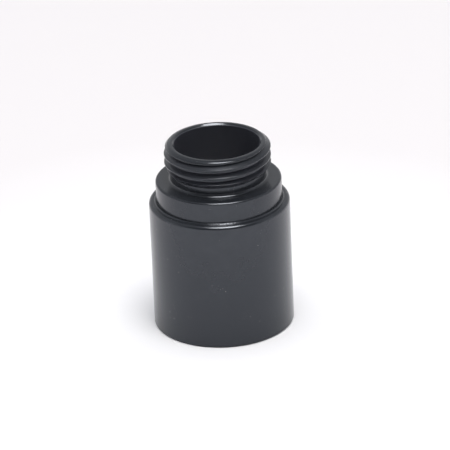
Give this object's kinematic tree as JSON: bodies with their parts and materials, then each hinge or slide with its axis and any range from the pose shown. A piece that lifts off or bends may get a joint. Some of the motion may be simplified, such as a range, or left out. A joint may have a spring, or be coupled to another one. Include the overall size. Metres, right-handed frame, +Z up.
{
  "type": "laser collimator",
  "caption": "Cylindrical focusing laser collimator head: smooth drawtube barrel, a collar that turns to focus and a threaded open neck for a battery cap.",
  "frame": {"origin": "centre of the barrel's foot ring, at the exit-window end it stands on", "axes": "+Z up along the barrel's axis towards the threaded neck, +X right, +Y away from the viewer"},
  "size_m": [0.0318, 0.0318, 0.0438],
  "materials": {
    "sleeve_anodised": "satin",
    "neck_anodised": "satin",
    "cell_anodised": "matte",
    "window_glass": "polished",
    "gasket_rubber": "matte",
    "matte_black": "matte",
    "lens_cell_brass": "satin",
    "lens_glass": "polished",
    "o_ring_rubber": "matte",
    "pin_steel": "satin",
    "carrier_aluminium": "satin",
    "black_steel": "satin",
    "module_brass": "satin",
    "diode_gold": "polished",
    "board_laminate": "gloss",
    "chip_plastic": "matte",
    "trim_plastic": "matte",
    "capacitor_ceramic": "matte",
    "insulator_plastic": "satin",
    "contact_gold": "polished",
    "spring_steel": "polished"
  },
  "bodies": {
    "barrel": {"barrel_sleeve": "sleeve_anodised", "front_cell": "cell_anodised", "exit_window": "window_glass", "window_gasket": "gasket_rubber", "window_retaining_ring": "cell_anodised", "aperture_stop": "matte_black", "lens_cell": "lens_cell_brass", "collimating_lens": "lens_glass", "lens_retaining_ring": "lens_cell_brass"},
    "damper": {"damping_o_ring": "o_ring_rubber"},
    "neck": {"neck_tube": "neck_anodised", "guide_pins": "pin_steel"},
    "screw_1": {"alignment_screw_1": "black_steel"},
    "screw_2": {"alignment_screw_2": "black_steel"},
    "screw_3": {"alignment_screw_3": "black_steel"},
    "pivot": {"pivot_o_ring": "o_ring_rubber"},
    "laser": {"laser_carrier": "carrier_aluminium", "module_set_screw": "black_steel", "module_housing": "module_brass", "diode_base": "diode_gold", "diode_cap": "diode_gold", "diode_window": "window_glass", "diode_pins": "diode_gold", "driver_board": "board_laminate", "driver_chip": "chip_plastic", "trim_potentiometer": "trim_plastic", "chip_resistors": "chip_plastic", "capacitor": "capacitor_ceramic", "rear_insulator": "insulator_plastic", "spring_seat": "contact_gold", "contact_spring": "spring_steel"},
    "plunger": {"contact_plunger": "contact_gold"}
  },
  "joints": [
    {"name": "focus_travel", "type": "slide", "parent": "barrel", "child": "damper", "axis": [0, 0, 1], "range_m": [-0.0015, 0.0015]},
    {"name": "focus_turn", "type": "hinge", "parent": "damper", "child": "neck", "pos_m": [0, 0, 0.026], "axis": [0, 0, 1], "range_deg": [-45, 45]},
    {"name": "alignment_screw_1_turn", "type": "hinge", "parent": "neck", "child": "screw_1", "pos_m": [0, 0.0076, 0.02615], "axis": [0, 0, 1], "range_deg": [-75, 75]},
    {"name": "alignment_screw_2_turn", "type": "hinge", "parent": "neck", "child": "screw_2", "pos_m": [-0.00658, -0.0038, 0.02615], "axis": [0, 0, 1], "range_deg": [-65, 65]},
    {"name": "alignment_screw_3_turn", "type": "hinge", "parent": "neck", "child": "screw_3", "pos_m": [0.00658, -0.0038, 0.02615], "axis": [0, 0, 1], "range_deg": [-65, 65]},
    {"name": "beam_tilt_x", "type": "hinge", "parent": "neck", "child": "pivot", "pos_m": [0, 0, 0.02358], "axis": [1, 0, 0], "range_deg": [-0.6, 0.6]},
    {"name": "beam_tilt_y", "type": "hinge", "parent": "pivot", "child": "laser", "pos_m": [0, 0, 0.02358], "axis": [0, 1, 0], "range_deg": [-0.6, 0.6]},
    {"name": "contact_travel", "type": "slide", "parent": "laser", "child": "plunger", "axis": [0, 0, 1], "range_m": [-0.0015, 0], "stiffness_N_per_m": 400, "deforming": ["contact_spring"]}
  ],
  "couplings": [
    {"joint": "focus_travel", "follows": "focus_turn", "m_per_rad": 0.0019099},
    {"joint": "alignment_screw_1_turn", "follows": "beam_tilt_x", "ratio": 119.38},
    {"joint": "alignment_screw_2_turn", "follows": "beam_tilt_y", "ratio": 103.39},
    {"joint": "alignment_screw_3_turn", "follows": "beam_tilt_y", "ratio": -103.39}
  ]
}
